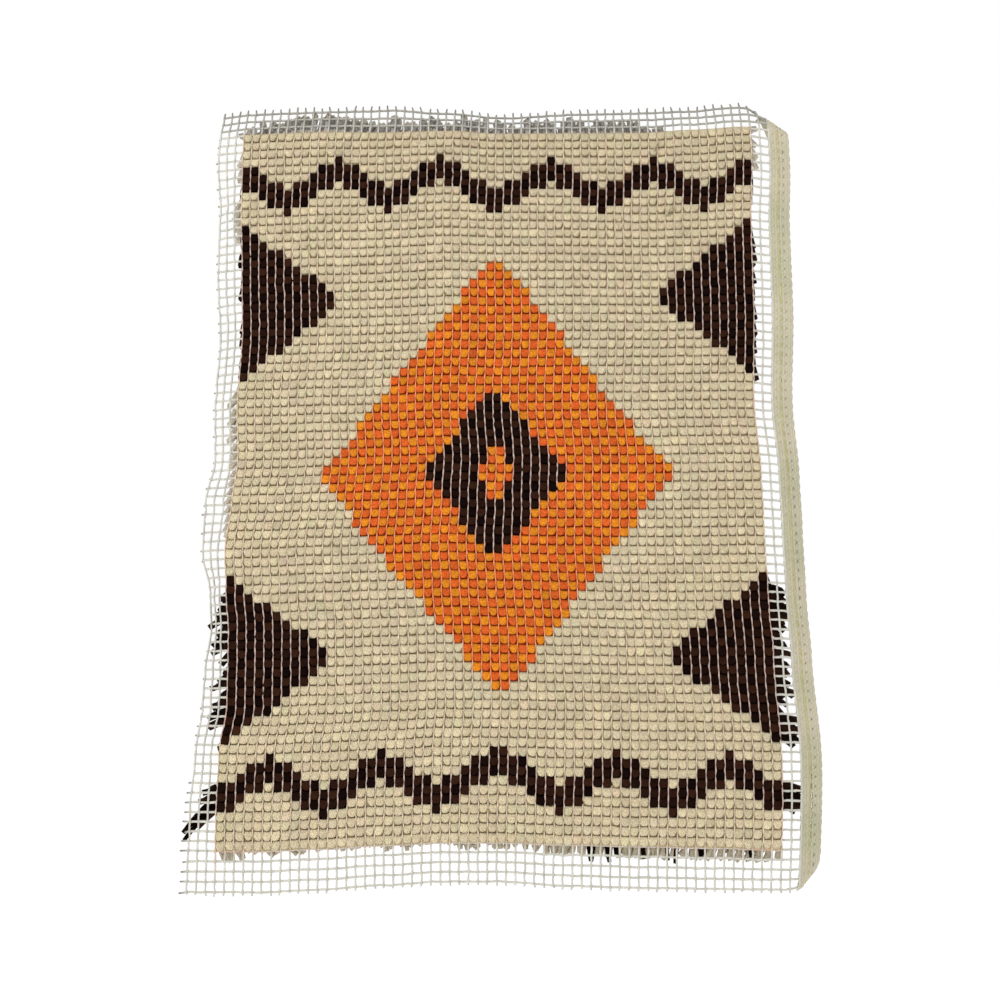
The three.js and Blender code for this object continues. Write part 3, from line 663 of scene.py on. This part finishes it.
BA = BA + np.where(edge < 0.01, 0.22 * np.sin(2 * np.pi * beat) + rng.normal(0, 0.06, BA.shape), 0)
front = place(BA, BD, -0.50 - relief)
back = place(BA, BD, 0.50 + relief[:, ::-1] * 0.8)
shown = np.ones((len(band_down) - 1, BAND_COLUMNS), bool)
mid_beat = ((beat[:-1, :-1] + beat[1:, 1:]) / 2)
in_pick = mid_beat - np.floor(mid_beat)
col_index = np.arange(BAND_COLUMNS)[None]
# small openings between the picks down one column, and a few pulled ones near the foot
shown &= ~((col_index == 17) & (in_pick > 0.40) & (in_pick < 0.62))
low = (band_down[:-1, None] > 505) & (band_down[:-1, None] < 552)
shown &= ~((col_index == 12) & low & (in_pick > 0.22) & (in_pick < 0.70))
shown &= ~((col_index == 13) & (band_down[:-1, None] > 516) & (band_down[:-1, None] < 540) & (in_pick > 0.22) & (in_pick < 0.70))
# painted shade: darker in the grooves between the cords and where the picks dip
shade = (0.80 + 0.20 * rib + 0.05 * pick_)[..., None]
tone = np.clip(0.5 + 0.5 * np.sin(beat * 0.21 + 1.0) + 0.4 * np.sin(beat * 0.83), 0, 1)[..., None]
band_tint = (SELVEDGE_BEIGE * tone + SELVEDGE_GREEN * (1 - tone)) * shade * np.exp(rng.normal(0, 0.035, BA.shape))[..., None]
# painted shade round the openings, and faint painted shade in spots down another column where no opening is cut
hole_shade = np.zeros(BA.shape)
gone = ~shown
for dj in (0, 1):
    for di in (0, 1):
        hole_shade[dj:dj + gone.shape[0], di:di + gone.shape[1]] += gone
faint_hole_shade = 0.16 * np.exp(-((cord - 0.22) / 0.05) ** 2) * np.clip(np.cos(2 * np.pi * (beat - 0.5)), 0, 1)
band_tint = band_tint * (1 - 0.22 * np.clip(hole_shade, 0, 1) - faint_hole_shade)[..., None]


def masked_sheet(heap, front, back, shown, tint, uv):
    rows, cols = front.shape[:2]
    index = np.arange(rows * cols).reshape(rows, cols)
    j, i = np.nonzero(shown)
    tl, tr, bl, br = index[j, i], index[j, i + 1], index[j + 1, i], index[j + 1, i + 1]
    n = rows * cols
    quads = [np.stack([bl, br, tr, tl], -1), np.stack([tl, tr, br, bl], -1) + n]
    padded = np.pad(shown, 1)
    for dj, di, a, b in ((-1, 0, (0, 0), (0, 1)), (1, 0, (1, 1), (1, 0)), (0, -1, (1, 0), (0, 0)), (0, 1, (0, 1), (1, 1))):
        open_ = shown & ~padded[1 + dj:1 + dj + shown.shape[0], 1 + di:1 + di + shown.shape[1]]
        j, i = np.nonzero(open_)
        p, q = index[j + a[0], i + a[1]], index[j + b[0], i + b[1]]
        quads.append(np.stack([p, q, q + n, p + n], -1))
    quads = np.concatenate(quads)
    used, quads = np.unique(quads, return_inverse=True)
    quads = quads.reshape(-1, 4)
    points = np.concatenate([front.reshape(-1, 3), back.reshape(-1, 3)])[used]
    tints = np.concatenate([tint.reshape(-1, 3)] * 2)[used]
    uvs = np.concatenate([uv.reshape(-1, 2)] * 2)[used]
    heap.add(points, tints, {4: quads}, {4: uvs[quads]})


band = Heap()
masked_sheet(band, front, back, shown, band_tint, np.stack([BA, BD], -1))
# the marker thread woven down its middle
run = np.arange(2 * len(WEFTS)) / 2 - BARE_TOP
marker_down = np.clip(FIELD_TOP + (run + 0.5) * WEFT_PITCH, 2, CANVAS_BOTTOM - 1)
marker_across = BAND_LEFT + 0.43 * (BAND_RIGHT - BAND_LEFT) + 0.28 * np.where(np.arange(len(run)) % 2 == 0, 1, -1) + rng.normal(0, 0.08, len(run))
marker_off = np.where(np.arange(len(run)) % 2 == 0, -0.95, -0.42) + rng.normal(0, 0.08, len(run))
centre = place(marker_across, marker_down, marker_off)[None]
tubes(band, centre, np.full((1, len(run)), 0.42), behind(marker_across, marker_down)[None],
      (GOLD_THREAD * np.exp(rng.normal(0, 0.10, (len(run), 1))))[None], sides=5)
band_piece = band.build("selvedge", SELVEDGE_LOOK)

# ---- loose fibres caught on the canvas side ---------------------------------------------------
fluff = Heap()
LOOSE = [(122, 38, 9, -1.1, 0.95), (131, 92, 11, -0.9, 1.05), (-53, 92, 10, 0.6, 0.24), (96, 96, 9, 2.0, 0.24), (150, 104, 10, 2.9, 0.24),
         (-150, 112, 9, 0.3, 0.24), (60, 470, 9, 1.1, 0.24), (-92, 330, 8, 2.2, 0.24)]
for across, down, long, turn, thick in LOOSE:
    t = np.linspace(0, 1, 9)
    loose = 1.0 if thick < 0.5 else 0.2
    curl = rng.normal(0, 0.9) * loose
    heading = turn + curl * t + 0.5 * loose * np.sin(t * 5 + turn)
    a = across + np.cumsum(np.cos(heading)) * long / 9
    d = down + np.cumsum(np.sin(heading)) * long / 9
    centre = place(a, d, -3.45 - 0.9 * np.sin(t * math.pi) - rng.uniform(0, 0.3))[None]
    tubes(fluff, centre, thick * np.interp(t, [0, 0.2, 0.8, 1], [0.4, 1.0, 0.9, 0.35])[None], np.broadcast_to(np.array([0, 1.0, 0]), centre.shape),
          (CREAM_YARN * 0.8)[None, None], sides=4)
fluff_piece = fluff.build("loose_fibres", CREAM_LOOK)

# ---- what each piece stands for ------------------------------------------------------------------
SIDES = ("side_upper_left", "side_upper_right", "side_lower_left", "side_lower_right")
FIELDS = {CREAM: ("ground",), ORANGE: ("medallion",), BROWN: ("core",) + SIDES}
total = 0
for layer, made in (("knots", made_knots), ("pile", made_pile)):
    seen = set()
    for kind, piece, count in made:
        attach(piece, "root")
        if kind not in seen:
            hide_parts(*[f"{layer}_{field}" for field in FIELDS[kind]])
            seen.add(kind)
        print(piece.name, count)
        total += count
for piece, count in ((canvas_piece, canvas.triangles()), (band_piece, band.triangles()), (fluff_piece, fluff.triangles())):
    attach(piece, "root")
    print(piece.name, count)
    total += count
print("triangles", total)
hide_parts("canvas")
# the cut is this rectangle, but it is an open net, so its area is that of its threads
print("net area", net_area)

# ---- floor, light and camera ------------------------------------------------------------------------
scene = bpy.context.scene
floor_mesh = bpy.data.meshes.new("floor")
FLOOR_Z = -1.05
floor_mesh.from_pydata([(-40, -40, FLOOR_Z), (40, -40, FLOOR_Z), (40, 40, FLOOR_Z), (-40, 40, FLOOR_Z)], [], [(0, 1, 2, 3)])
floor = bpy.data.objects.new("floor", floor_mesh)
scene.collection.objects.link(floor)
paper = bpy.data.materials.new("pale_floor")
paper.use_nodes = True
sheet_of_paper = paper.node_tree.nodes["Principled BSDF"]
sheet_of_paper.inputs["Base Color"].default_value = (0.93, 0.93, 0.93, 1)
sheet_of_paper.inputs["Roughness"].default_value = 0.9
sheet_of_paper.inputs["Emission Color"].default_value = (1, 1, 1, 1)
# painted light: the floor glows, more away from the hanging, up to the backdrop's white
where = paper.node_tree.nodes.new("ShaderNodeTexCoord")
far = paper.node_tree.nodes.new("ShaderNodeVectorMath")
far.operation = "LENGTH"
glow = paper.node_tree.nodes.new("ShaderNodeMapRange")
glow.interpolation_type = "SMOOTHSTEP"
for socket, value in (("From Min", 0.2), ("From Max", 2.2), ("To Min", 0.15), ("To Max", 0.62)):
    glow.inputs[socket].default_value = value
paper.node_tree.links.new(where.outputs["Object"], far.inputs[0])
paper.node_tree.links.new(far.outputs["Value"], glow.inputs["Value"])
paper.node_tree.links.new(glow.outputs[0], sheet_of_paper.inputs["Emission Strength"])
floor_mesh.materials.append(paper)
floor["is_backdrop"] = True

world = bpy.data.worlds.new("studio")
scene.world = world
world.use_nodes = True
sky = world.node_tree.nodes["Background"]
sky.inputs["Color"].default_value = (1, 1, 1, 1)
# a white backdrop that is brighter than the light it gives
rays = world.node_tree.nodes.new("ShaderNodeLightPath")
level = world.node_tree.nodes.new("ShaderNodeMapRange")
level.inputs["To Min"].default_value, level.inputs["To Max"].default_value = 0.46, 1.0
world.node_tree.links.new(rays.outputs["Is Camera Ray"], level.inputs["Value"])
world.node_tree.links.new(level.outputs[0], sky.inputs["Strength"])


def lamp(name, at, aim, size, power):
    light = bpy.data.lights.new(name, "AREA")
    light.shape = "RECTANGLE"
    light.size, light.size_y = size
    light.energy = power
    made = bpy.data.objects.new(name, light)
    made.location = at
    made.rotation_euler = (Vector(aim) - Vector(at)).to_track_quat("-Z", "Y").to_euler()
    made.visible_camera = False
    scene.collection.objects.link(made)


lamp("key", (-0.75, -1.4, 1.15), (0, 0, -0.3), (1.4, 0.9), 23)
lamp("rear", (0.5, 1.8, 0.9), (0, 0, -0.3), (1.6, 1.2), 26)

EYE = np.array([24.6, -909.6, -450.8]) * MM
PITCH, YAW, ROLL = 0.15555, 0.02614, -0.004647
forward = np.array([-math.sin(YAW) * math.cos(PITCH), math.cos(YAW) * math.cos(PITCH), math.sin(PITCH)])
right0 = np.array([math.cos(YAW), math.sin(YAW), 0.0])
up0 = np.array([math.sin(PITCH) * math.sin(YAW), -math.sin(PITCH) * math.cos(YAW), math.cos(PITCH)])
right = math.cos(ROLL) * right0 + math.sin(ROLL) * up0
up = -math.sin(ROLL) * right0 + math.cos(ROLL) * up0
lens = bpy.data.cameras.new("camera")
lens.sensor_fit = "HORIZONTAL"
lens.sensor_width, lens.lens = 36.0, 45.0
lens.clip_start, lens.clip_end = 0.02, 50.0
eye = bpy.data.objects.new("camera", lens)
eye.matrix_world = Matrix([[*axis] for axis in np.column_stack([right, up, -forward, EYE]).tolist()] + [[0, 0, 0, 1]])
scene.collection.objects.link(eye)
scene.camera = eye
scene.view_settings.view_transform = "Standard"
scene.view_settings.look = "None"

low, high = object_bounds()
